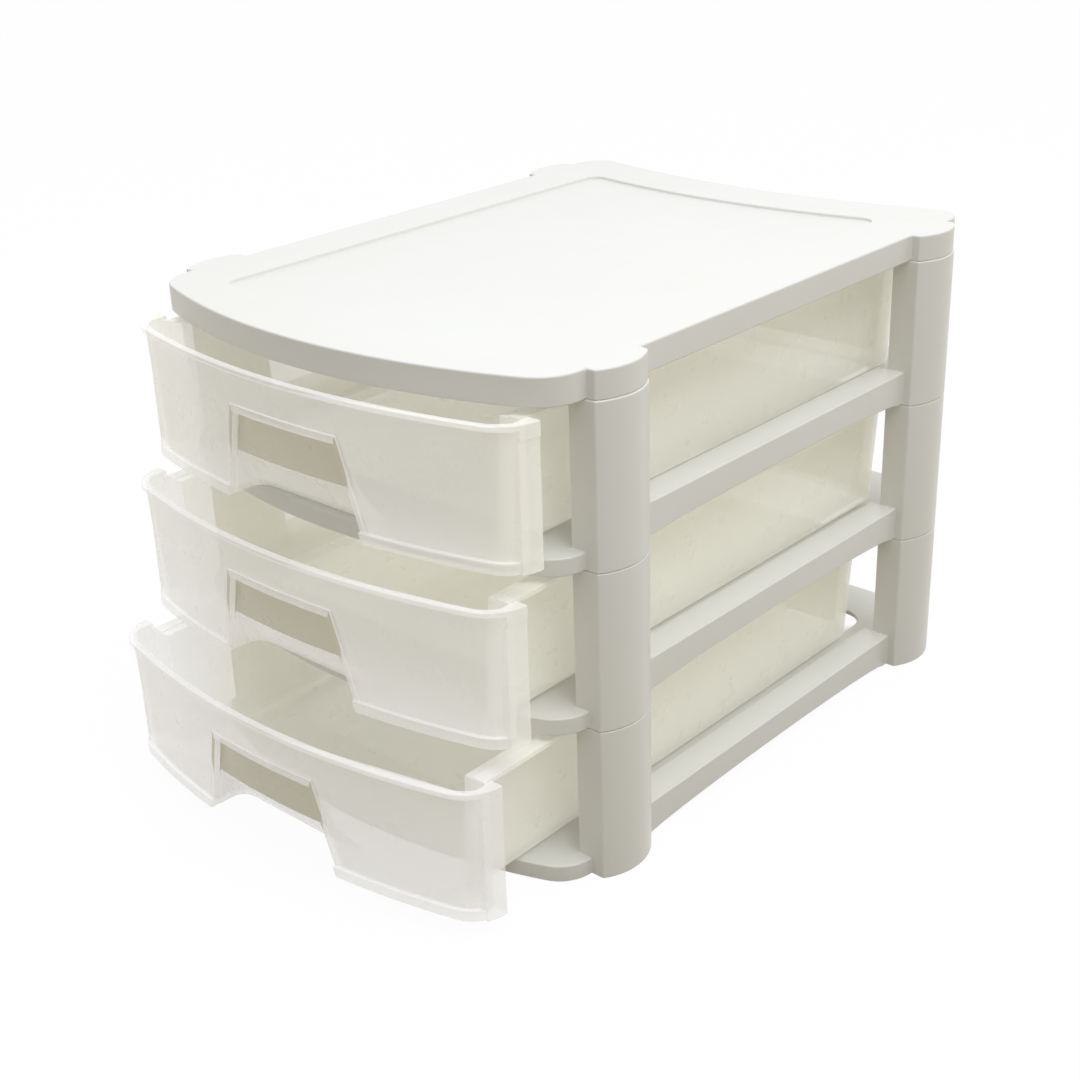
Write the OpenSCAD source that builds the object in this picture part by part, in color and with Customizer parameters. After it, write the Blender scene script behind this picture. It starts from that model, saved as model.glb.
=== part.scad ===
// Desktop mini drawers: three stacking tiers, a lid and three slide-out drawers.
// Millimetres, +Z up. The front faces -Y. The origin is on the floor, midway
// between the flat faces of the front posts and those of the rear posts.

/* [Frame] */
// Height of one tier, seam to seam
tier_h = 53; // [48:0.5:80]
// Width across the outer faces of the side rails
frame_w = 173.8; // [165:0.2:260]
// Distance from the front posts' flat faces to those of the rear posts
post_span = 175.4; // [140:0.2:260]
// Depth of a post, front to back
post_d = 24.7; // [20:0.1:32]
// Width of a post's flat front face
post_face_w = 9.8; // [8.8:0.1:14]
// How far a post's flat face stands out past the side rail
post_step = 3.2; // [1:0.1:6]
// Extra swell of a post's curved outer side
post_swell = 4.2; // [2:0.1:7]
// Wall thickness of the tiers and the lid
wall_t = 1.8; // [1.2:0.1:2.4]
// Height of the peg on each post
peg_h = 5.6; // [3:0.1:6]
// Clearance round a peg in the part above
peg_clear = 0.4; // [0.2:0.05:0.8]

/* [Shelf] */
// Height of the side ledges above the tier's foot
ledge_h = 12.2; // [10:0.1:16]
// Width of a side ledge
ledge_w = 10.8; // [8:0.1:13]
// Height of the shelf plate's top
shelf_h = 5.8; // [4.5:0.1:8]
// Thickness of the shelf plate
shelf_t = 1.8; // [1.2:0.1:2.4]
// How far the shelf's front lip sits back from the lid's front edge
lip_back = 3.7; // [1:0.1:8]
// How far the shelf's side lip sits in from the side rail
lip_side_in = 1.4; // [0.4:0.1:3]
// How far the shelf reaches behind the rear posts
shelf_rear = 16.4; // [8:0.1:30]
// Radius of the shelf's rear corners
shelf_rear_r = 12; // [4:0.5:14]
// Width of the opening in the shelf plate
hole_w = 131; // [60:1:134]
// Plate left in front of the opening, behind the front posts' flat faces
hole_front = 1.8; // [0:0.1:20]
// Plate left behind the opening
hole_rear = 21.2; // [8:0.1:40]
// Corner radius of the opening
hole_r = 9; // [2:0.5:20]
// Rise of the arch under a side rail
arch_rise = 2.7; // [0.5:0.1:5]

/* [Lid] */
// Height of the lid
lid_h = 9.1; // [8.6:0.1:14]
// Thickness of the lid's top
lid_t = 2; // [1.6:0.1:2.4]
// Radius of the bowed front of the lid
bow_r = 218; // [170:1:400]
// How far the lid's front reaches ahead of the front posts
lid_front = 30; // [24:0.1:45]
// Radius of the lid's front corners
front_corner_r = 15.4; // [9:0.1:20]
// Radius of the hollow rear edge of the lid
rear_bow_r = 289; // [220:1:500]
// How far the middle of the lid's rear edge reaches behind the rear posts
lid_rear = 3.7; // [2:0.1:12]
// Radius of the lid's rear corners
rear_corner_r = 10.6; // [5:0.1:14]
// Raised border at the lid's sides
border_side = 21.2; // [8:0.1:35]
// Raised border at the lid's front
border_front = 17; // [8:0.1:30]
// Raised border at the lid's rear
border_rear = 22.3; // [8:0.1:35]
// Depth of the lid's sunk middle
sunk_d = 1.1; // [0.4:0.1:1.4]
// Corner radius of the sunk middle
sunk_r = 5; // [2:0.5:10]

/* [Drawer] */
// Wall thickness of a drawer
drawer_t = 1.4; // [1:0.1:2]
// How far a closed drawer's front sits back from the lid's front edge, at the rim
front_back = 7.2; // [5:0.1:11]
// How far a drawer's front sits in from the side rails, at the rim
front_side_in = 3.1; // [2:0.1:5]
// Radius of the drawers' bowed fronts
drawer_bow_r = 285; // [190:1:400]
// Radius of a drawer front's corners, at the rim
drawer_corner_r = 13.2; // [9:0.1:16]
// How far the front leans forward from its foot to its rim
front_lean = 1.8; // [0.5:0.1:4]
// How much narrower the front is at its foot, each side
front_draft = 1.1; // [0.4:0.1:2]
// Gap under a drawer
under_gap = 0.6; // [0.4:0.1:1.2]
// Gap over a drawer's rim, below the part above
over_gap = 1.4; // [0.8:0.1:4]
// Gap from a closed drawer's front to the posts
end_gap = 0.5; // [0.3:0.1:2]
// Height of the rim along the top of a drawer's front
rim_h = 1.8; // [1.4:0.1:4]
// How far the rim stands out
rim_out = 1.2; // [1.2:0.1:2]
// Height of the lip along the bottom of a drawer's front
foot_lip_h = 3.7; // [2:0.1:6]
// How far the bottom lip stands out
foot_lip_out = 1.5; // [0.8:0.1:1.7]
// Drop from the rim to the tray's side flanges
flange_drop = 1.3; // [0.6:0.1:4]
// Width of a side flange, with the wall
flange_w = 7.9; // [4:0.1:10]
// Clearance from a side flange to the posts
side_play = 1.6; // [0.6:0.1:3]
// Height of the flange's raised outer strip
flange_step = 0.5; // [0.3:0.1:1]
// How much narrower the tray is at its foot, each side
draft = 3.1; // [0.5:0.1:5]
// Radius of the tray's rear corners
tray_r = 7; // [3:0.5:12]
// Bevel along the tray's bottom edge
tray_bevel = 1.5; // [0.5:0.1:3]
// Gap from a closed tray to the shelf's rear edge
rear_gap = 1.1; // [0.5:0.1:10]
// Length of the thickened end of a drawer's front
end_l = 6.8; // [4:0.1:10]
// Thickness of that end
end_t = 3.4; // [2.4:0.1:5]
// How far that end stands out at the rim
end_out = 0.8; // [0.6:0.1:0.8]
// Height of the rim at that end
end_rim_h = 4.6; // [4.2:0.1:8]

/* [Handle] */
// Width of the notch at its top
notch_top_w = 45.2; // [30:0.2:60]
// Width of the notch at the drawer's foot
notch_foot_w = 61; // [46:0.2:72]
// Height of the notch
notch_h = 30; // [22:0.5:36]
// Height of the handle plate in the notch
plate_h = 14.1; // [8:0.1:18]
// How far the handle plate sits behind the front
plate_back = 1.8; // [1.4:0.1:3]
// Depth of the finger pocket at the drawer's foot
pocket_d = 14.6; // [11:0.1:15]
// Corner radius of the finger pocket
pocket_r = 5.3; // [2:0.1:8]
// Width of the bead down the notch's sides
bead_w = 2; // [0.8:0.1:3]
// Width of the bead over the notch
bead_top_w = 2.8; // [0.8:0.1:4]
// How far the bead stands out
bead_out = 0.4; // [0.2:0.1:0.8]

/* [Drawers as they stand] */
// How far the top drawer is pulled out
open_top = 16.2; // [0:0.1:100]
// How far the middle drawer is pulled out
open_middle = 24.2; // [0:0.1:100]
// How far the bottom drawer is pulled out
open_bottom = 37.6; // [0:0.1:100]

/* [Hidden] */
tiers = 3;
frame_tone = [0.90, 0.89, 0.86];
drawer_tone = [0.87, 0.87, 0.81, 0.8];
$fn = 64;

// Overlap used to join one form to the next, and the thickness of a thin slice
join = 0.9;
slice = 0.02;
// A length past every face, for cuts that go right through
past = 20;
// Steps in a round corner and in the bowed front
corner_n = 10;
bow_n = 28;
// How far the pocket's walls stand in from the notch's sides and the plate's face
pocket_in = 0.3;
// How far the lid's ears stand in from the posts below
ear_in = 0.4;

// Frame
rail_x = frame_w / 2;
front_y = -post_span / 2;
rear_y = post_span / 2;
post_out_x = rail_x + post_step;
post_in_x = post_out_x - post_face_w;
post_r = (pow(post_d / 2, 2) + pow(post_swell, 2)) / (2 * post_swell);
post_cx = post_out_x + post_swell - post_r;
post_back_y = rear_y + post_d;

// Lid
lid_z = tiers * tier_h;
lid_top_z = lid_z + lid_h;
lid_front_y = front_y - lid_front;
lid_rear_y = post_back_y + lid_rear;
rear_cy = lid_rear_y + rear_bow_r;

// Shelf
ledge_x = rail_x - ledge_w;
lip_x = rail_x - lip_side_in;
lip_front_y = lid_front_y + lip_back;
lip_corner_r = front_corner_r - lip_back / 2;
shelf_rear_y = post_back_y + shelf_rear;
shelf_rear_x = post_in_x + join;

// Drawer, closed, heights from the foot of its tier
front_x = rail_x - front_side_in;
drawer_front_y = lid_front_y + front_back;
drawer_end_y = front_y - end_gap;
drawer_foot = shelf_h + under_gap;
drawer_rim = tier_h - over_gap;
drawer_h = drawer_rim - drawer_foot;
front_end_y = drawer_end_y - end_l;
flange_z = drawer_rim - flange_drop;
flange_x = post_in_x - side_play;
tray_top_x = flange_x - flange_w + drawer_t;
tray_foot_x = tray_top_x - draft;
tray_rear_y = shelf_rear_y - rear_gap;
web_y = drawer_end_y - drawer_t;
notch_top_z = drawer_foot + notch_h;
plate_foot_z = notch_top_z - plate_h;
pocket_back_y = drawer_front_y + front_lean + pocket_d;

// Points along an arc from angle a0 to a1
function arc(cx, cy, r, a0, a1, n) =
    [for (i = [0:n]) let (a = a0 + (a1 - a0) * i / n) [cx + r * cos(a), cy + r * sin(a)]];

// The inner points of an arc, without its two ends
function inner_arc(cx, cy, r, a0, a1, n) =
    [for (i = [1:n - 1]) let (a = a0 + (a1 - a0) * i / n) [cx + r * cos(a), cy + r * sin(a)]];

function reversed(list) = [for (i = [len(list) - 1:-1:0]) list[i]];

// Bowed front edge with rounded corners, from the left end to the right end. A path
// that ends ahead of the centre of its corners stops part of the way round them.
function bow_path(half_w, apex_y, r, corner_r, end_y) =
    let (
        cx = half_w - corner_r,
        cy = apex_y + r - sqrt(pow(r - corner_r, 2) - pow(cx, 2)),
        a = atan2(cy - apex_y - r, cx),
        short = asin(min(max((cy - end_y) / corner_r, 0), 1))
    )
    concat(
        end_y > cy ? [[-half_w, end_y]] : [],
        arc(-cx, cy, corner_r, 180 + short, 180 - a, corner_n),
        inner_arc(0, apex_y + r, r, 180 - a, 360 + a, bow_n),
        arc(cx, cy, corner_r, 360 + a, 360 - short, corner_n),
        end_y > cy ? [[half_w, end_y]] : []
    );

// Hollow rear edge of the lid with rounded corners, from the right to the left
function rear_path(half_w, edge_y, corner_r) =
    let (
        cy0 = edge_y + rear_bow_r,
        cx = half_w - corner_r,
        cy = cy0 - sqrt(pow(rear_bow_r + corner_r, 2) - pow(cx, 2)),
        a = atan2(cy - cy0, cx)
    )
    concat(
        arc(cx, cy, corner_r, 0, a + 180, corner_n),
        inner_arc(0, cy0, rear_bow_r, 360 + a, 180 - a, bow_n),
        arc(-cx, cy, corner_r, -a, 180, corner_n)
    );

// Width of the handle notch at height z, halved
function notch_x(z) =
    (notch_foot_w + (notch_top_w - notch_foot_w) * (z - drawer_foot) / notch_h) / 2;

// The bowed edge of the shelf, drawn in by inset
function lip_path(inset) =
    bow_path(lip_x - inset, lip_front_y + inset, bow_r - lip_back - inset, lip_corner_r - inset,
        front_y + wall_t / 2);

// Plan of a post: flat front, inner side and back, curved outer side
module post_plan(inset, inner_x) {
    intersection() {
        translate([post_cx, front_y + post_d / 2])
            circle(r = post_r - inset);
        translate([inner_x, front_y + inset])
            square([post_out_x + post_swell - inner_x, post_d - 2 * inset]);
    }
}

// The four corners: left and right, front and rear
module at_posts() {
    for (side = [0, 1], back = [0, post_span])
        mirror([side, 0, 0])
            translate([0, back, 0])
                children();
}

// A post is a shell that is open below, with a peg on its closed top
module post() {
    difference() {
        linear_extrude(height = tier_h)
            post_plan(0, post_in_x);
        translate([0, 0, -past])
            linear_extrude(height = tier_h - lid_t + past)
                post_plan(wall_t, post_in_x + wall_t);
    }
    translate([0, 0, tier_h - lid_t / 2])
        linear_extrude(height = peg_h + lid_t / 2)
            post_plan(wall_t + peg_clear, post_in_x + wall_t + peg_clear);
}

// Side rail: a channel open below, its outer wall cut to a low arch
module side_rail() {
    rail_y0 = front_y + post_d - join;
    rail_y1 = rear_y + join;
    rail_l = rail_y1 - rail_y0;
    difference() {
        translate([ledge_x, rail_y0, 0])
            cube([ledge_w, rail_l, ledge_h]);
        translate([ledge_x + wall_t, rail_y0 + wall_t, -past])
            cube([ledge_w - 2 * wall_t, rail_l - 2 * wall_t, ledge_h - wall_t + past]);
        translate([ledge_x - 1, rail_y0 + wall_t, -past])
            cube([wall_t + 2, rail_l - 2 * wall_t, shelf_h - shelf_t + past]);
        translate([rail_x + 1, (rail_y0 + rail_y1) / 2, 0])
            rotate([90, 0, -90])
                linear_extrude(height = wall_t + 2)
                    polygon([for (a = [0:6:180]) [(rail_l / 2 - 2 * wall_t) * cos(a), arch_rise * sin(a)]]);
    }
}

// Rear edge of the shelf: straight, with round corners
module shelf_rear_plan(inset) {
    half_w = shelf_rear_x - inset;
    edge_y = shelf_rear_y - inset;
    corner_r = shelf_rear_r - inset;
    root_y = rear_y + wall_t / 2 + inset;
    polygon(concat(
        [[-half_w, root_y], [half_w, root_y]],
        arc(half_w - corner_r, edge_y - corner_r, corner_r, 0, 90, corner_n),
        arc(-half_w + corner_r, edge_y - corner_r, corner_r, 90, 180, corner_n)
    ));
}

module shelf_plan() {
    plate_x = ledge_x + join;
    difference() {
        union() {
            polygon(lip_path(0));
            translate([-plate_x, front_y])
                square([2 * plate_x, post_span + post_d]);
            for (y0 = [front_y, rear_y])
                translate([-post_in_x - join, y0])
                    square([2 * (post_in_x + join), post_d]);
            shelf_rear_plan(0);
        }
        hole();
    }
}

module hole() {
    hole_y0 = front_y + hole_front;
    hole_y1 = shelf_rear_y - hole_rear;
    translate([0, (hole_y0 + hole_y1) / 2])
        rounded_rect(hole_w, hole_y1 - hole_y0, hole_r);
}

module rounded_rect(w, l, r) {
    square([w - 2 * r, l], center = true);
    square([w, l - 2 * r], center = true);
    for (x = [-1, 1], y = [-1, 1])
        translate([x * (w / 2 - r), y * (l / 2 - r)])
            circle(r = r);
}

// One tier: a shelf with its four posts, moulded in one
module tier() {
    translate([0, 0, shelf_h - shelf_t])
        linear_extrude(height = shelf_t)
            shelf_plan();
    linear_extrude(height = shelf_h)
        polygon(concat(lip_path(0), reversed(lip_path(wall_t))));
    linear_extrude(height = shelf_h)
        difference() {
            shelf_rear_plan(0);
            shelf_rear_plan(wall_t);
            translate([-ledge_x, 0])
                square([2 * ledge_x, post_back_y]);
        }
    for (side = [0, 1])
        mirror([side, 0, 0])
            side_rail();
    at_posts()
        post();
}

// Plan of the lid, drawn in by inset; the ears over the posts reach back to ear_x
module lid_plan(inset, ear_x) {
    half_w = rail_x - inset;
    polygon(concat(
        bow_path(half_w, lid_front_y + inset, bow_r - inset, front_corner_r - inset, 0),
        rear_path(half_w, lid_rear_y - inset, rear_corner_r - inset)
    ));
    for (side = [0, 1], back = [0, post_span])
        mirror([side, 0])
            translate([0, back])
                post_plan(inset + ear_in, ear_x);
}

module sunk_plan() {
    half_w = rail_x - border_side;
    polygon(concat(
        bow_path(half_w, lid_front_y + border_front, bow_r - border_front, sunk_r, 0),
        rear_path(half_w, lid_rear_y - border_rear, sunk_r)
    ));
}

module lid() {
    color(frame_tone)
        difference() {
            translate([0, 0, lid_z])
                linear_extrude(height = lid_h)
                    lid_plan(0, post_in_x);
            translate([0, 0, lid_z - past])
                linear_extrude(height = lid_h - lid_t - sunk_d + past)
                    lid_plan(wall_t, post_in_x - wall_t);
            translate([0, 0, lid_top_z - sunk_d])
                linear_extrude(height = past)
                    sunk_plan();
        }
}

module tier_top() {
    color(frame_tone)
        translate([0, 0, 2 * tier_h])
            tier();
}

module tier_middle() {
    color(frame_tone)
        translate([0, 0, tier_h])
            tier();
}

module tier_bottom() {
    color(frame_tone)
        tier();
}

// Plan of the tray at one height, from y0 to its rear wall
module tray_plan(half_w, y0, y1, r) {
    polygon(concat(
        [[-half_w, y0], [half_w, y0]],
        arc(half_w - r, y1 - r, r, 0, 90, corner_n),
        arc(-half_w + r, y1 - r, r, 90, 180, corner_n)
    ));
}

// Half the tray's width at height z
function tray_x(z) = tray_foot_x + draft * (z - drawer_foot) / (flange_z - drawer_foot);

// The tray's form up to top_z, drafted, drawn in by inset and bevelled along its foot
module tray_form(inset, y0, top_z) {
    foot_z = drawer_foot + inset;
    bevel_z = foot_z + tray_bevel;
    rear_y = tray_rear_y - inset;
    hull() {
        translate([0, 0, foot_z])
            linear_extrude(height = slice)
                tray_plan(tray_x(foot_z) - inset - tray_bevel, y0, rear_y - tray_bevel, tray_r - inset);
        translate([0, 0, bevel_z])
            linear_extrude(height = slice)
                tray_plan(tray_x(bevel_z) - inset, y0, rear_y, tray_r - inset);
        translate([0, 0, top_z - slice])
            linear_extrude(height = slice)
                tray_plan(tray_x(top_z) - inset, y0, rear_y, tray_r - inset);
    }
}

// Side flanges with a raised outer strip
module flanges() {
    strip_x = (tray_top_x + flange_x) / 2 - drawer_t;
    for (side = [0, 1])
        mirror([side, 0, 0]) {
            translate([tray_top_x - drawer_t, web_y, flange_z - drawer_t])
                cube([flange_x - tray_top_x + drawer_t, tray_rear_y - tray_r - web_y, drawer_t]);
            translate([strip_x, web_y, flange_z - drawer_t])
                cube([flange_x - strip_x, tray_rear_y - tray_r - web_y, drawer_t + flange_step]);
        }
}

// Upright webs from the tray's side walls out to the ends of the front
module webs() {
    web_x0 = tray_foot_x - drawer_t;
    web_x1 = front_x - end_t + join;
    for (side = [0, 1])
        mirror([side, 0, 0])
            translate([web_x0, web_y, drawer_foot])
                cube([web_x1 - web_x0, drawer_t, flange_z - drawer_foot]);
}

// Open tray with its flanges
module tray() {
    difference() {
        union() {
            tray_form(0, web_y, flange_z);
            flanges();
            webs();
        }
        tray_form(drawer_t, web_y - join, drawer_rim + 1);
    }
}

// How far the front has drawn back at height z, as a share of its draft and its lean
function drawn_back(z) = (drawer_rim - z) / drawer_h;

// Outline of the bowed front at height z, drawn in by inset, back to end_y
function front_path(inset, z, end_y) =
    let (side_in = inset + front_draft * drawn_back(z))
    bow_path(front_x - side_in, drawer_front_y + inset + front_lean * drawn_back(z),
        drawer_bow_r - side_in, drawer_corner_r - side_in, end_y);

// A solid between two outlines with the same number of points
module between(ring0, z0, ring1, z1) {
    m = len(ring0);
    polyhedron(
        points = concat([for (p = ring0) [p[0], p[1], z0]], [for (p = ring1) [p[0], p[1], z1]]),
        faces = concat(
            [[for (i = [0:m - 1]) i]],
            [[for (i = [m - 1:-1:0]) m + i]],
            [for (i = [0:m - 1]) [i, m + i, (i + 1) % m]],
            [for (i = [0:m - 1]) [m + i, m + (i + 1) % m, (i + 1) % m]]
        )
    );
}

// All that lies behind the front's leaning face, drawn in by inset, from z0 to z1
module behind_front(inset, z0, z1) {
    back_y = drawer_end_y + past;
    between(front_path(inset, z0, back_y), z0, front_path(inset, z1, back_y), z1);
}

// A band that stands out from the front at height z, from z0 to z1
module front_band(out, z, z0, z1) {
    translate([0, 0, z0])
        linear_extrude(height = z1 - z0)
            polygon(front_path(-out, z, drawer_end_y + past));
}

// The rim, taller at the front's two ends
module rim() {
    ahead_y = lid_front_y - past;
    difference() {
        front_band(rim_out, drawer_rim, drawer_rim - end_rim_h, drawer_rim);
        translate([-frame_w, ahead_y, drawer_rim - rim_h - past])
            cube([2 * frame_w, front_end_y - ahead_y, past]);
    }
}

// The thickened ends, from the foot to the rim
module front_ends() {
    intersection() {
        front_band(end_out, drawer_rim, drawer_foot, drawer_rim);
        translate([-frame_w, front_end_y, 0])
            cube([2 * frame_w, 2 * past, tier_h]);
    }
}

// The bowed front with its bottom lip, rim, floor and thickened ends
module front() {
    difference() {
        union() {
            behind_front(0, drawer_foot, drawer_rim);
            front_band(foot_lip_out, drawer_foot, drawer_foot, drawer_foot + foot_lip_h);
            rim();
            front_ends();
        }
        difference() {
            behind_front(drawer_t, drawer_foot + drawer_t, drawer_rim + 1);
            for (side = [-1, 1])
                translate([side * front_x, drawer_end_y, drawer_h])
                    cube([2 * end_t, 2 * end_l, 2 * drawer_h], center = true);
        }
        translate([-frame_w, drawer_end_y, 0])
            cube([2 * frame_w, 2 * past, 2 * tier_h]);
    }
}

// The notch as a prism through the front, grown by side and by up
module notch_prism(side, up) {
    z1 = notch_top_z + up;
    z0 = drawer_foot - (up > 0 ? 0 : 1);
    translate([0, pocket_back_y, 0])
        rotate([90, 0, 0])
            linear_extrude(height = pocket_d + past)
                polygon([
                    [-notch_x(z0) - side, z0],
                    [notch_x(z0) + side, z0],
                    [notch_x(z1) + side, z1],
                    [-notch_x(z1) - side, z1]
                ]);
}

// Finger pocket: from the foot of the handle plate it slopes back to the drawer's foot
module pocket_form(grow, y0, z0, z1) {
    n = 12;
    w0 = notch_x(z0) - pocket_in + grow;
    w1 = notch_x(z1) - pocket_in + grow;
    r = pocket_r + grow;
    bow_cy = drawer_front_y + front_lean * drawn_back(z1) + drawer_bow_r;
    back_r = drawer_bow_r - plate_back - max(pocket_in, grow / 2);
    s = [for (i = [-n:n]) sin(90 * i / n)];
    foot = [for (k = s) let (x = w0 * k, e = max(abs(x) - (w0 - r), 0))
        [x, pocket_back_y + grow - r + sqrt(max(pow(r, 2) - pow(e, 2), 0))]];
    head = [for (k = s) let (x = w1 * k) [x, bow_cy - sqrt(pow(back_r, 2) - pow(x, 2))]];
    between(
        concat([[w0, y0]], reversed(foot), [[-w0, y0]]), z0,
        concat([[w1, y0]], reversed(head), [[-w1, y0]]), z1
    );
}

// Handle plate and pocket walls, before the hollow is cut
module handle_walls() {
    intersection() {
        behind_front(drawer_t / 2, drawer_foot - 1, drawer_rim + 1);
        union() {
            difference() {
                notch_prism(drawer_t, drawer_t);
                behind_front(plate_back + drawer_t, drawer_foot - 2, drawer_rim + 2);
                translate([-notch_foot_w, drawer_front_y - past, 0])
                    cube([2 * notch_foot_w, 3 * past, plate_foot_z - drawer_t]);
            }
            pocket_form(drawer_t, drawer_front_y - 1, drawer_foot, plate_foot_z + drawer_t);
        }
    }
}

// Bead round the notch
module bead() {
    intersection() {
        difference() {
            behind_front(-bead_out, drawer_foot - 1, drawer_rim + 1);
            behind_front(drawer_t / 2, drawer_foot - 2, drawer_rim + 2);
        }
        notch_prism(bead_w, bead_top_w);
    }
}

// The open space of the notch and the pocket
module handle_hollow() {
    difference() {
        notch_prism(0, 0);
        behind_front(plate_back, drawer_foot - 2, drawer_rim + 2);
    }
    pocket_form(0, drawer_front_y - past / 2, drawer_foot - 1, plate_foot_z);
}

// A drawer, closed, standing on the foot of its tier
module drawer() {
    difference() {
        union() {
            front();
            tray();
            handle_walls();
            bead();
        }
        handle_hollow();
    }
}

module drawer_top() {
    color(drawer_tone)
        translate([0, -open_top, 2 * tier_h])
            drawer();
}

module drawer_middle() {
    color(drawer_tone)
        translate([0, -open_middle, tier_h])
            drawer();
}

module drawer_bottom() {
    color(drawer_tone)
        translate([0, -open_bottom, 0])
            drawer();
}

lid();
tier_top();
tier_middle();
tier_bottom();
drawer_top();
drawer_middle();
drawer_bottom();
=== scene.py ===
"""Desktop mini drawers: three milky drawers in a stack of moulded tiers, under a bowed lid."""
import math

import bpy
from mathutils import Matrix, Vector


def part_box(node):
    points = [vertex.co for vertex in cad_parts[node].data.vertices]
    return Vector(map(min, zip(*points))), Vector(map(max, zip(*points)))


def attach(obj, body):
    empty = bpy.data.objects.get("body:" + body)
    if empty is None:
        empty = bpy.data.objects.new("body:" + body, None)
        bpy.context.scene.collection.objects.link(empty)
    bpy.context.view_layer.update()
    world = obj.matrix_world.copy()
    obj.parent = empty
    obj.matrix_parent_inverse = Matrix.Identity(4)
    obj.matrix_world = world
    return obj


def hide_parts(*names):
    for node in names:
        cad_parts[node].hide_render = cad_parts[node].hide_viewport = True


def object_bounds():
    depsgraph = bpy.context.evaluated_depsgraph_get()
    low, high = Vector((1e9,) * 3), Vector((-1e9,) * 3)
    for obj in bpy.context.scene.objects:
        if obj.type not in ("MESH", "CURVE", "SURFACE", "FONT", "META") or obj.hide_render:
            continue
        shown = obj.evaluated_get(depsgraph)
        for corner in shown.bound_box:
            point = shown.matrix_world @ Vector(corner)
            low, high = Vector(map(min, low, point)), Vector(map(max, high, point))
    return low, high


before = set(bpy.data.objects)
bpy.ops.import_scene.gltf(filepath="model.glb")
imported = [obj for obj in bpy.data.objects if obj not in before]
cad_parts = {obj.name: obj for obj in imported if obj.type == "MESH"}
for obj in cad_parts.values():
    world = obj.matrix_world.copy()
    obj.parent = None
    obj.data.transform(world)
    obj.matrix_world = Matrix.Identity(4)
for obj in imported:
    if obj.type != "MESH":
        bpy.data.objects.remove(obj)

CAD_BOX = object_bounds()
MM = 0.001
TIER_HEIGHT = 53 * MM
TIER_FOOT = {"bottom": 0, "middle": TIER_HEIGHT, "top": 2 * TIER_HEIGHT}


# ---------------------------------------------------------------- camera

CAMERA_PLACE = Vector((0.3729, -0.4247, 0.3182))
CAMERA_AZIMUTH = math.radians(42.485)
CAMERA_ELEVATION = math.radians(24.021)
CAMERA_ROLL = math.radians(-2.063)
FOCAL_PIXELS = 1690.19
IMAGE_PIXELS = 1080
SENSOR = 36.0
CAMERA_SHIFT = (0.0095, -0.0132)
NEAREST_SEEN = 10 * MM


def photo_camera():
    """The camera at the photograph's place and angle."""
    level = math.cos(CAMERA_ELEVATION)
    forward = Vector((
        -math.sin(CAMERA_AZIMUTH) * level,
        math.cos(CAMERA_AZIMUTH) * level,
        -math.sin(CAMERA_ELEVATION),
    ))
    right = Vector((math.cos(CAMERA_AZIMUTH), math.sin(CAMERA_AZIMUTH), 0))
    up = right.cross(forward)
    turned_right = right * math.cos(CAMERA_ROLL) + up * math.sin(CAMERA_ROLL)
    turned_up = up * math.cos(CAMERA_ROLL) - right * math.sin(CAMERA_ROLL)
    pose = Matrix((turned_right, turned_up, -forward)).transposed().to_4x4()
    pose.translation = CAMERA_PLACE
    bpy.ops.object.camera_add()
    camera = bpy.context.object
    camera.name = "photo_camera"
    camera.matrix_world = pose
    camera.data.sensor_width = SENSOR
    camera.data.lens = SENSOR * FOCAL_PIXELS / IMAGE_PIXELS
    camera.data.shift_x, camera.data.shift_y = CAMERA_SHIFT
    camera.data.clip_start = NEAREST_SEEN
    bpy.context.scene.camera = camera


# ---------------------------------------------------------------- shader maths

NOISE_LOW, NOISE_HIGH = 0.3, 0.7


class Socket:
    """A shader's output that takes part in plain arithmetic."""

    def __init__(self, paint, socket):
        self.paint = paint
        self.socket = socket

    def __add__(self, other):
        return self.paint.math("ADD", self, other)

    def __radd__(self, other):
        return self.paint.math("ADD", other, self)

    def __sub__(self, other):
        return self.paint.math("SUBTRACT", self, other)

    def __rsub__(self, other):
        return self.paint.math("SUBTRACT", other, self)

    def __mul__(self, other):
        return self.paint.math("MULTIPLY", self, other)

    def __rmul__(self, other):
        return self.paint.math("MULTIPLY", other, self)

    def __abs__(self):
        return self.paint.math("ABSOLUTE", self)


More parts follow.
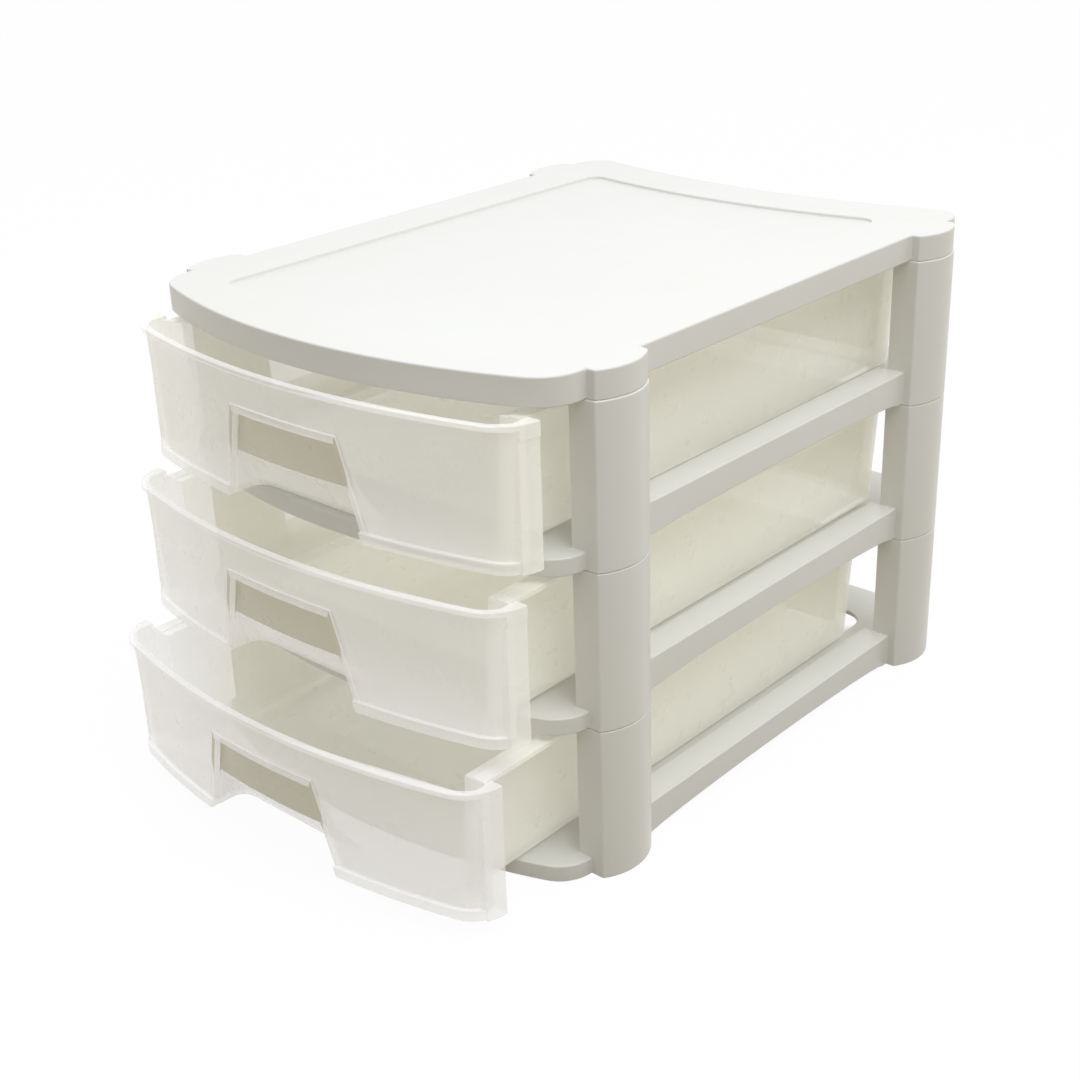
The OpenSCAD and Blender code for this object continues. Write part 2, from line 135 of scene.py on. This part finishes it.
class Paint:
    """The shader of a material, or of the world, in the making."""

    def __init__(self, owner):
        self.owner = owner
        owner.use_nodes = True
        self.tree = owner.node_tree
        self.tree.nodes.clear()

    def node(self, kind, settings=None, **inputs):
        """A node with its settings made first, then its sockets given values or links."""
        made = self.tree.nodes.new(kind)
        for key, value in (settings or {}).items():
            setattr(made, key, value)
        for key, value in inputs.items():
            self.feed(made.inputs[self.input_index(made, key)], value)
        return made

    @staticmethod
    def input_index(made, key):
        """Inputs are named in lower case with underscores, or in_0, in_1 by their order."""
        if key.startswith("in_"):
            return int(key.removeprefix("in_"))
        names = [socket.name.lower() for socket in made.inputs]
        return names.index(key.replace("_", " "))

    def feed(self, target, value):
        """Links a node's output to a socket, or gives the socket a plain value."""
        if isinstance(value, Socket):
            self.tree.links.new(value.socket, target)
        elif hasattr(value, "is_output"):
            self.tree.links.new(value, target)
        else:
            target.default_value = value

    def math(self, operation, first, second=0.0):
        """A Math node; one that takes a single number has no use for the second."""
        made = self.node("ShaderNodeMath", {"operation": operation}, in_0=first, in_1=second)
        return Socket(self, made.outputs[0])

    def mixed(self, share, first, second):
        """One colour mixed into another by a share that may vary."""
        made = self.node("ShaderNodeMix", {"data_type": "RGBA"},
                         in_0=share, in_6=first, in_7=second)
        return made.outputs[2]

    def coordinates(self, kind="Object"):
        """The place on the object, or the way that a ray goes, as three numbers."""
        whole = self.node("ShaderNodeTexCoord").outputs[kind]
        parts = self.node("ShaderNodeSeparateXYZ", vector=whole)
        return [Socket(self, output) for output in parts.outputs]

    def noise(self, scale, detail, roughness):
        made = self.node("ShaderNodeTexNoise", {"noise_dimensions": "3D"},
                         vector=self.node("ShaderNodeTexCoord").outputs["Object"],
                         scale=scale, detail=detail, roughness=roughness)
        return Socket(self, made.outputs[0])

    def between(self, value, low, high, to_low, to_high):
        """A value's range from low to high, made a soft step from to_low to to_high."""
        made = self.node("ShaderNodeMapRange", {"interpolation_type": "SMOOTHSTEP"},
                         in_0=value, in_1=low, in_2=high, in_3=to_low, in_4=to_high)
        return Socket(self, made.outputs[0])

    def patches(self, scale, detail, roughness, least, most):
        """Soft patches of noise that go from least to most."""
        noise = self.noise(scale, detail, roughness)
        return self.between(noise, NOISE_LOW, NOISE_HIGH, least, most)

    def bump(self, height, strength, distance):
        made = self.node("ShaderNodeBump", height=height, strength=strength, distance=distance)
        return made.outputs[0]

    def seen(self):
        """1 for the rays that show a thing to the eye, straight, by a shine or through a wall."""
        path = self.node("ShaderNodeLightPath")
        shown = self.math("MAXIMUM", path.outputs["Is Camera Ray"], path.outputs["Is Glossy Ray"])
        return self.math("MAXIMUM", shown, path.outputs["Is Transmission Ray"])

    def finish(self, surface, kind="Material"):
        self.node(f"ShaderNodeOutput{kind}", surface=surface)
        return self.owner


# ---------------------------------------------------------------- finishes

FRAME_TONE = (0.745, 0.735, 0.70, 1)
FRAME_SHADE = (0.735, 0.72, 0.675, 1)
DRAWER_TONE = (0.96, 0.945, 0.945, 1)
DRAWER_SHADE = (0.945, 0.93, 0.915, 1)
# Painted warm shade of the trays: the yellow that light takes on as it bounces inside them.
TRAY_PAINTED_SHADE_TONE = (0.945, 0.94, 0.855, 1)
# Painted shade of the handle plate in its recess: darker and yellower than the drawer's plastic.
PLATE_PAINTED_SHADE_TONE = (0.74, 0.71, 0.58, 1)
PLATE_DEEPER_PAINTED_SHADE = (0.71, 0.68, 0.55, 1)
GLOW_TONE = (1.0, 0.98, 0.99, 1)
GLOW_WITHIN = (1.0, 0.99, 0.90, 1)

# From FRONT_Y the drawers' plastic turns milkier over FRONT_TO_TRAY, and its colour turns to a
# painted warm shade, which stands in for the yellow of the light that bounces inside the trays.
FRONT_Y = -128 * MM
FRONT_TO_TRAY = 30 * MM
MOST_TRAY_SHADE_AND_MILK = 0.85
CLOUD_ALPHA = 0.04
DRAWER_GRAIN_DEPTH = 0.02 * MM

# The moulding's gate left a shallow dimple in the lid.
GATE_X = 16.2 * MM
GATE_Y = -10.4 * MM
DIMPLE_RADIUS = 2.4 * MM
DIMPLE_DEPTH = 0.2 * MM
GRAIN_TO_DIMPLE = 0.006


def frame_plastic():
    """Satin warm-white moulded plastic: faint flow marks, and a dimple at the lid's gate."""
    paint = Paint(bpy.data.materials.new("frame_plastic"))
    x, y, _ = paint.coordinates()
    flow = paint.patches(scale=11.0, detail=3.0, roughness=0.45, least=0.0, most=1.0)
    scuff = paint.patches(scale=70.0, detail=4.0, roughness=0.6, least=0.28, most=0.38)
    grain = paint.noise(scale=520.0, detail=1.0, roughness=0.4)
    across = x - GATE_X
    along = y - GATE_Y
    from_gate = paint.math("SQRT", across * across + along * along)
    dimple = paint.between(from_gate, 0.0, DIMPLE_RADIUS, 0.0, 1.0)
    height = grain * GRAIN_TO_DIMPLE + dimple
    shader = paint.node(
        "ShaderNodeBsdfPrincipled",
        base_color=paint.mixed(flow, FRAME_TONE, FRAME_SHADE),
        roughness=scuff,
        normal=paint.bump(height, strength=0.5, distance=DIMPLE_DEPTH),
        ior=1.46,
    )
    return paint.finish(shader.outputs[0])


def drawer_plastic(name, tone, shade, painted_far_shade, solid, milkier, glow):
    """Milky moulded plastic, through which what stands behind it shows faintly.

    solid is its alpha at the fronts, and milkier is what the trays add to that. Towards the
    trays the colour turns to a painted warm shade, which stands in for the yellow of the light
    that bounces inside them. A faint glow stands in for the light that goes to and fro between
    such walls.
    """
    paint = Paint(bpy.data.materials.new(name))
    cloud = paint.patches(scale=24.0, detail=3.0, roughness=0.5, least=0.0, most=1.0)
    scuff = paint.patches(scale=85.0, detail=4.0, roughness=0.6, least=0.26, most=0.36)
    grain = paint.noise(scale=430.0, detail=1.0, roughness=0.4)
    _, y, _ = paint.coordinates()
    tray_shade_and_milk = paint.between(y, FRONT_Y, FRONT_Y + FRONT_TO_TRAY, 0.0, MOST_TRAY_SHADE_AND_MILK)
    shader = paint.node(
        "ShaderNodeBsdfPrincipled",
        base_color=paint.mixed(tray_shade_and_milk, paint.mixed(cloud, tone, shade), painted_far_shade),
        roughness=scuff,
        alpha=solid + cloud * CLOUD_ALPHA + tray_shade_and_milk * milkier,
        normal=paint.bump(grain, strength=0.05, distance=DRAWER_GRAIN_DEPTH),
        ior=1.45,
        emission_color=paint.mixed(tray_shade_and_milk, GLOW_TONE, GLOW_WITHIN),
        emission_strength=glow,
    )
    return paint.finish(shader.outputs[0])


# ---------------------------------------------------------------- pieces

# A CAD node's triangles are merged into whole faces, and its sharp edges are rounded.
MERGE_REACH = 0.02 * MM
FLAT_WITHIN = math.radians(0.3)
SHARP_FROM = math.radians(32)
SMOOTH_UP_TO = math.radians(30)
ROUNDING_STEPS = 3
TOP_WITHIN = 0.3 * MM

LID_TOP_RADIUS = 0.62 * MM
LID_EDGE_RADIUS = 0.45 * MM
TIER_EDGE_RADIUS = 0.5 * MM
DRAWER_RIM_RADIUS = 0.5 * MM
DRAWER_EDGE_RADIUS = 0.35 * MM
END_RIM_RADIUS = 0.3 * MM
END_EDGE_RADIUS = 0.15 * MM

# The ribs at the ends of a drawer's front: their distance from the middle, and how far they
# lie behind the foremost point.
END_FROM_X = 76 * MM
END_FROM_Y, END_TO_Y = 11 * MM, 30 * MM

# The handle plate: PLATE_SET_BACK is counted from the drawer's foremost point, and PLATE_FOOT
# from the foot of its tier.
PLATE_HALF_WIDTH = 26 * MM
PLATE_SET_BACK = 2.4 * MM
PLATE_NORMAL_Y = -0.9
PLATE_FOOT, PLATE_HEIGHT = 22.3 * MM, 13.7 * MM


def alone(obj):
    """Selects one object and makes it the one that the operators act on."""
    bpy.ops.object.select_all(action="DESELECT")
    obj.select_set(True)
    bpy.context.view_layer.objects.active = obj


def copy_of(node, name):
    """A copy of a CAD node's mesh, its triangles merged and its flat faces made whole."""
    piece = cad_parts[node].copy()
    piece.data = piece.data.copy()
    piece.parent = None
    piece.name = name
    for key in [key for key in piece.keys() if key.startswith("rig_")]:
        del piece[key]
    bpy.context.scene.collection.objects.link(piece)
    alone(piece)
    bpy.ops.object.mode_set(mode="EDIT")
    bpy.ops.mesh.select_all(action="SELECT")
    bpy.ops.mesh.remove_doubles(threshold=MERGE_REACH)
    bpy.ops.mesh.customdata_custom_splitnormals_clear()
    bpy.ops.mesh.dissolve_limited(angle_limit=FLAT_WITHIN)
    bpy.ops.object.mode_set(mode="OBJECT")
    return piece


def split_hollow_faces():
    """Cuts each face whose outline has a hollow, so that it shades as it should."""
    bpy.ops.object.mode_set(mode="EDIT")
    bpy.ops.mesh.select_mode(type="FACE")
    bpy.ops.mesh.select_all(action="SELECT")
    bpy.ops.mesh.vert_connect_concave()
    bpy.ops.object.mode_set(mode="OBJECT")


def sharp_edges(piece):
    """Each edge whose faces meet at a sharp angle, with its middle."""
    alone(piece)
    bpy.ops.object.mode_set(mode="EDIT")
    bpy.ops.mesh.select_mode(type="EDGE")
    bpy.ops.mesh.select_all(action="DESELECT")
    bpy.ops.mesh.edges_select_sharp(sharpness=SHARP_FROM)
    bpy.ops.object.mode_set(mode="OBJECT")
    points = piece.data.vertices
    for edge in piece.data.edges:
        if edge.select:
            first, second = (points[i].co for i in edge.vertices)
            yield edge, (first + second) / 2


def round_edges(piece, radius_at, largest):
    """Rounds the sharp edges, each by the radius that radius_at gives for its middle."""
    chosen = [(edge.index, radius_at(middle)) for edge, middle in sharp_edges(piece)]
    weight = piece.data.attributes.new("bevel_weight_edge", "FLOAT", "EDGE")
    for index, radius in chosen:
        weight.data[index].value = radius / largest
    bevel = piece.modifiers.new("rounding", "BEVEL")
    bevel.limit_method = "WEIGHT"
    bevel.width = largest
    bevel.segments = ROUNDING_STEPS
    bevel.use_clamp_overlap = False
    bevel.miter_outer = "MITER_SHARP"
    bpy.ops.object.modifier_apply(modifier="rounding")
    split_hollow_faces()
    bpy.ops.object.shade_smooth_by_angle(angle=SMOOTH_UP_TO)
    level = piece.modifiers.new("level", "WEIGHTED_NORMAL")
    level.keep_sharp = True
    bpy.ops.object.modifier_apply(modifier="level")


def wear_finish(piece, body, node, slot, *finishes):
    """Gives a piece its finishes and puts it in its CAD node's place."""
    piece.data.materials.clear()
    for finish in finishes:
        piece.data.materials.append(finish)
    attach(piece, body)
    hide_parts(node)


def make_lid(finish):
    """The lid: the step down into its sunk middle is rounded over its whole height."""
    piece = copy_of("lid", "lid_moulding")
    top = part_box("lid")[1].z

    def radius(middle):
        return LID_TOP_RADIUS if middle.z > top - TOP_WITHIN else LID_EDGE_RADIUS

    round_edges(piece, radius, LID_TOP_RADIUS)
    wear_finish(piece, "cabinet", "lid", "frame_plastic", finish)


def make_tier(which, finish):
    """A shelf with its four posts, moulded in one."""
    node = f"tier_{which}"
    piece = copy_of(node, f"{node}_moulding")
    round_edges(piece, lambda middle: TIER_EDGE_RADIUS, TIER_EDGE_RADIUS)
    wear_finish(piece, "cabinet", node, "frame_plastic", finish)


def is_plate(face, ahead, foot):
    """True for the faces of the handle plate, which looks forward out of the notch."""
    middle = face.center
    return (face.normal.y < PLATE_NORMAL_Y
            and middle.y > ahead + PLATE_SET_BACK
            and abs(middle.x) < PLATE_HALF_WIDTH
            and foot < middle.z < foot + PLATE_HEIGHT)


def make_drawer(which, finish, plate_shade_finish):
    """A drawer: the thin ribs at the ends of its front take the smallest roundings."""
    node = f"drawer_{which}"
    piece = copy_of(node, f"{node}_moulding")
    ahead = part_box(node)[0].y
    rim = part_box(node)[1].z

    def radius(middle):
        at_end = (abs(middle.x) > END_FROM_X
                  and ahead + END_FROM_Y < middle.y < ahead + END_TO_Y)
        if middle.z > rim - TOP_WITHIN:
            return END_RIM_RADIUS if at_end else DRAWER_RIM_RADIUS
        return END_EDGE_RADIUS if at_end else DRAWER_EDGE_RADIUS

    round_edges(piece, radius, DRAWER_RIM_RADIUS)
    wear_finish(piece, node, node, "drawer_plastic", finish, plate_shade_finish)
    foot = TIER_FOOT[which] + PLATE_FOOT
    # The handle plate's faces take the second finish, the painted shade of its recess.
    for face in piece.data.polygons:
        if is_plate(face, ahead, foot):
            face.material_index = 1


# ---------------------------------------------------------------- stage

WHITE = (1, 1, 1, 1)

# Under the object the floor's shadow is seen; SHADED_FADE before the edge of that place it
# starts to turn white.
FLOOR_SEEN = (0.95, 0.95, 0.95, 1)
FLOOR_BOUNCE = (0.41, 0.38, 0.30, 1)
FLOOR_SIZE = 6
WHITE_UNDER = 0.15
WHITE_OUTSIDE = 0.95
SHADED_HALF_WIDTH = 84 * MM
SHADED_HALF_DEPTH = 104 * MM
SHADED_MIDDLE_Y = 4 * MM
SHADED_FADE = 10 * MM

# The world's light goes from warm to cool with the height that a ray comes from, and from
# dim to bright towards the back, which is away from the camera.
HORIZON_TONE = (1.0, 0.94, 0.79, 1)
ZENITH_TONE = (0.94, 1.0, 1.10, 1)
HORIZON_Z, ZENITH_Z = 0.1, 0.9
TO_BACK_X, TO_BACK_Y = -0.67, 0.74
BACK_FADE = 0.6
LIGHT_BEFORE, LIGHT_BEHIND = 0.41, 1.27

KEY_PLACE = (0.52, -0.10, 1.12)
KEY_AIM = (0, 0, 0.08)
KEY_SIZE = 0.8
KEY_WATTS = 7.4
KEY_TONE = (0.95, 0.98, 1.0)


def floor_finish():
    """White to the eye, with a trace of the shadow, and truly shaded under the object.

    The light that it gives back is warm.
    """
    paint = Paint(bpy.data.materials.new("white_floor"))
    tone = paint.mixed(paint.seen(), FLOOR_BOUNCE, FLOOR_SEEN)
    matt = paint.node("ShaderNodeBsdfDiffuse", color=tone)
    x, y, _ = paint.coordinates()
    past_side = abs(x) - SHADED_HALF_WIDTH
    past_end = abs(y - SHADED_MIDDLE_Y) - SHADED_HALF_DEPTH
    past = paint.math("MAXIMUM", past_side, past_end)
    outside = paint.between(past, -SHADED_FADE, 0.0, WHITE_UNDER, WHITE_OUTSIDE)
    glow = paint.node("ShaderNodeEmission", color=WHITE, strength=1.0)
    mixed = paint.node("ShaderNodeMixShader",
                       in_0=paint.seen() * outside, in_1=matt.outputs[0], in_2=glow.outputs[0])
    return paint.finish(mixed.outputs[0])


def make_floor():
    """The plane that the bottom tier stands on."""
    bpy.ops.object.select_all(action="DESELECT")
    bpy.ops.mesh.primitive_plane_add(size=FLOOR_SIZE, location=(0, 0, CAD_BOX[0][2]))
    floor = bpy.context.object
    floor.name = "floor"
    floor.data.materials.append(floor_finish())


def make_world():
    """White to the eye, and a soft light of its own tones to everything else."""
    world = bpy.data.worlds.new("studio")
    bpy.context.scene.world = world
    paint = Paint(world)
    x, y, z = paint.coordinates("Generated")
    upward = paint.between(z, HORIZON_Z, ZENITH_Z, 0.0, 1.0)
    tone = paint.mixed(upward, HORIZON_TONE, ZENITH_TONE)
    backward = x * TO_BACK_X + y * TO_BACK_Y
    light = paint.between(backward, -BACK_FADE, BACK_FADE, LIGHT_BEFORE, LIGHT_BEHIND)
    soft = paint.node("ShaderNodeBackground", color=tone, strength=light)
    white = paint.node("ShaderNodeBackground", color=WHITE, strength=1.0)
    mixed = paint.node("ShaderNodeMixShader",
                       in_0=paint.seen(), in_1=soft.outputs[0], in_2=white.outputs[0])
    paint.finish(mixed.outputs[0], "World")


def make_key_lamp():
    """A soft lamp high above, on the object's right."""
    bpy.ops.object.light_add(type="AREA", location=KEY_PLACE)
    lamp = bpy.context.object
    lamp.name = "key_lamp"
    lamp.data.size = KEY_SIZE
    lamp.data.energy = KEY_WATTS
    lamp.data.color = KEY_TONE
    to_aim = Vector(KEY_AIM) - Vector(KEY_PLACE)
    lamp.rotation_euler = to_aim.to_track_quat("-Z", "Y").to_euler()


photo_camera()
frame_finish = frame_plastic()
milky = drawer_plastic("drawer_plastic", DRAWER_TONE, DRAWER_SHADE, TRAY_PAINTED_SHADE_TONE,
                       solid=0.39, milkier=0.15, glow=0.135)
# The handle plate's finish: the painted shade of its recess, nearly opaque.
plate = drawer_plastic("handle_painted_shade", PLATE_PAINTED_SHADE_TONE, PLATE_DEEPER_PAINTED_SHADE, PLATE_DEEPER_PAINTED_SHADE,
                       solid=0.94, milkier=0.0, glow=0.04)
make_lid(frame_finish)
for tier in TIER_FOOT:
    make_tier(tier, frame_finish)
    make_drawer(tier, milky, plate)
make_floor()
make_world()
make_key_lamp()
bpy.context.scene.view_settings.view_transform = "Standard"
